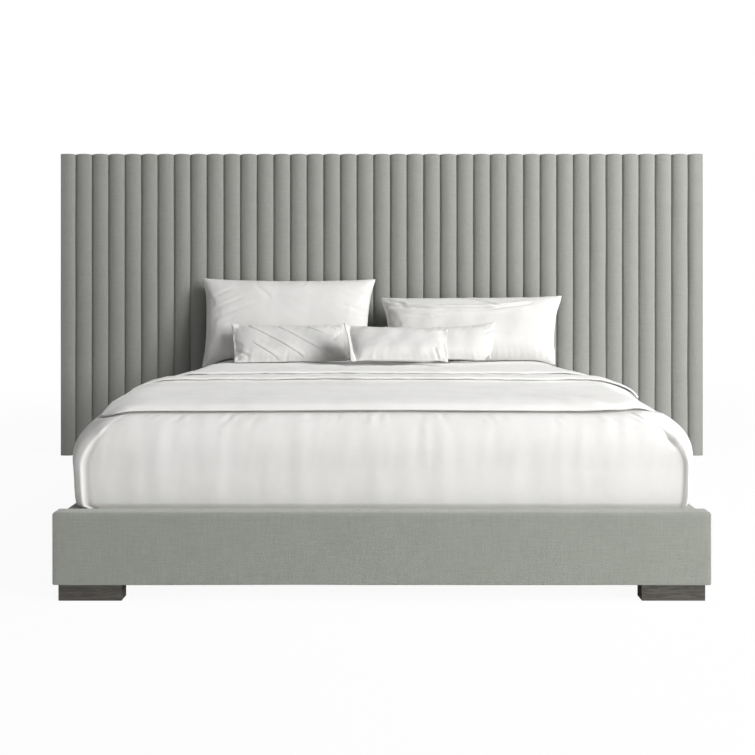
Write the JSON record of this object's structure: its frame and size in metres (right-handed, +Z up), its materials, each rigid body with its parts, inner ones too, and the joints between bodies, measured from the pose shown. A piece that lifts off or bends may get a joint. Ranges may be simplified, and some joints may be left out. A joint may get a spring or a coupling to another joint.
{
  "type": "upholstered headboard bed",
  "caption": "Platform bed with fabric-covered rails on low corner feet, a wide channel-tufted headboard in separate panels, slatted base, mattress, white bedding and pillows.",
  "frame": {"origin": "on the floor below the middle of the whole bed, halfway between the footboard's front face and the headboard's back", "axes": "+Z up, -Y from the headboard towards the foot end, +X to the right of someone standing at the foot end"},
  "size_m": [3.848, 2.245, 1.815],
  "materials": {
    "headboard_linen": "matte",
    "rail_linen": "matte",
    "pine": "matte",
    "espresso": "satin",
    "black_steel": "satin",
    "zinc": "satin",
    "nylon": "matte",
    "ticking": "matte",
    "white_cotton": "matte"
  },
  "bodies": {
    "frame": {"headboard_left_frame": "pine", "headboard_left_channels": "headboard_linen", "glide_left_outer": "nylon", "glide_left_inner": "nylon", "headboard_centre_frame": "pine", "headboard_centre_channels": "headboard_linen", "glide_centre_outer": "nylon", "glide_centre_inner": "nylon", "headboard_right_frame": "pine", "headboard_right_channels": "headboard_linen", "glide_right_outer": "nylon", "glide_right_inner": "nylon", "join_plate_left_lower": "zinc", "join_plate_left_upper": "zinc", "join_plate_right_lower": "zinc", "join_plate_right_upper": "zinc", "footboard_core": "pine", "footboard_cover": "rail_linen", "side_rail_right_core": "pine", "side_rail_right_cover": "rail_linen", "side_rail_left_core": "pine", "side_rail_left_cover": "rail_linen", "head_rail": "pine", "bracket_foot_left": "black_steel", "bracket_foot_right": "black_steel", "bracket_head_left": "black_steel", "bracket_head_right": "black_steel", "foot_front_left": "espresso", "foot_front_right": "espresso", "foot_back_left": "espresso", "foot_back_right": "espresso", "slat_01": "pine", "slat_02": "pine", "slat_03": "pine", "slat_04": "pine", "slat_05": "pine", "slat_06": "pine", "slat_07": "pine", "slat_08": "pine", "slat_09": "pine", "slat_10": "pine", "slat_11": "pine", "slat_12": "pine", "centre_beam": "pine", "beam_saddle_foot": "zinc", "centre_leg_foot": "black_steel", "beam_saddle_head": "zinc", "centre_leg_head": "black_steel"},
    "mattress_set": {"mattress": "ticking", "coverlet": "white_cotton", "blanket": "white_cotton"},
    "back_pillow_left": {"pillow_back_left": "white_cotton"},
    "back_pillow_right": {"pillow_back_right": "white_cotton"},
    "tucked_cushion": {"cushion_tucked": "white_cotton"},
    "rear_lumbar": {"cushion_lumbar_rear": "white_cotton"},
    "front_lumbar": {"cushion_lumbar_front": "white_cotton"},
    "leveller_foot": {"leveller_pad_foot": "nylon"},
    "leveller_screw_foot": {"leveller_stem_foot": "zinc"},
    "leveller_head": {"leveller_pad_head": "nylon"},
    "leveller_screw_head": {"leveller_stem_head": "zinc"}
  },
  "joints": [
    {"name": "mattress_lift", "type": "slide", "parent": "frame", "child": "mattress_set", "axis": [0, 0, 1], "range_m": [0, 0.45]},
    {"name": "back_pillow_left_lift", "type": "slide", "parent": "mattress_set", "child": "back_pillow_left", "axis": [0, 0, 1], "range_m": [0, 0.4]},
    {"name": "back_pillow_right_lift", "type": "slide", "parent": "mattress_set", "child": "back_pillow_right", "axis": [0, 0, 1], "range_m": [0, 0.4]},
    {"name": "tucked_cushion_lift", "type": "slide", "parent": "back_pillow_left", "child": "tucked_cushion", "axis": [0, -0.7193, 0.6947], "range_m": [0, 0.3]},
    {"name": "rear_lumbar_lift", "type": "slide", "parent": "back_pillow_right", "child": "rear_lumbar", "axis": [0, -0.6691, 0.7431], "range_m": [0, 0.3]},
    {"name": "front_lumbar_lift", "type": "slide", "parent": "rear_lumbar", "child": "front_lumbar", "axis": [0, -0.6947, 0.7193], "range_m": [0, 0.3]},
    {"name": "leveller_foot_extend", "type": "slide", "parent": "frame", "child": "leveller_foot", "axis": [0, 0, -1], "range_m": [0, 0.006]},
    {"name": "leveller_foot_turn", "type": "hinge", "parent": "leveller_foot", "child": "leveller_screw_foot", "pos_m": [0, -0.35, 0.03], "axis": [0, 0, -1], "range_deg": [0, 1442]},
    {"name": "leveller_head_extend", "type": "slide", "parent": "frame", "child": "leveller_head", "axis": [0, 0, -1], "range_m": [0, 0.006]},
    {"name": "leveller_head_turn", "type": "hinge", "parent": "leveller_head", "child": "leveller_screw_head", "pos_m": [0, 0.35, 0.03], "axis": [0, 0, -1], "range_deg": [0, 1442]}
  ],
  "couplings": [
    {"joint": "leveller_foot_turn", "follows": "leveller_foot_extend", "rad_per_m": 4188.8},
    {"joint": "leveller_head_turn", "follows": "leveller_head_extend", "rad_per_m": 4188.8}
  ]
}
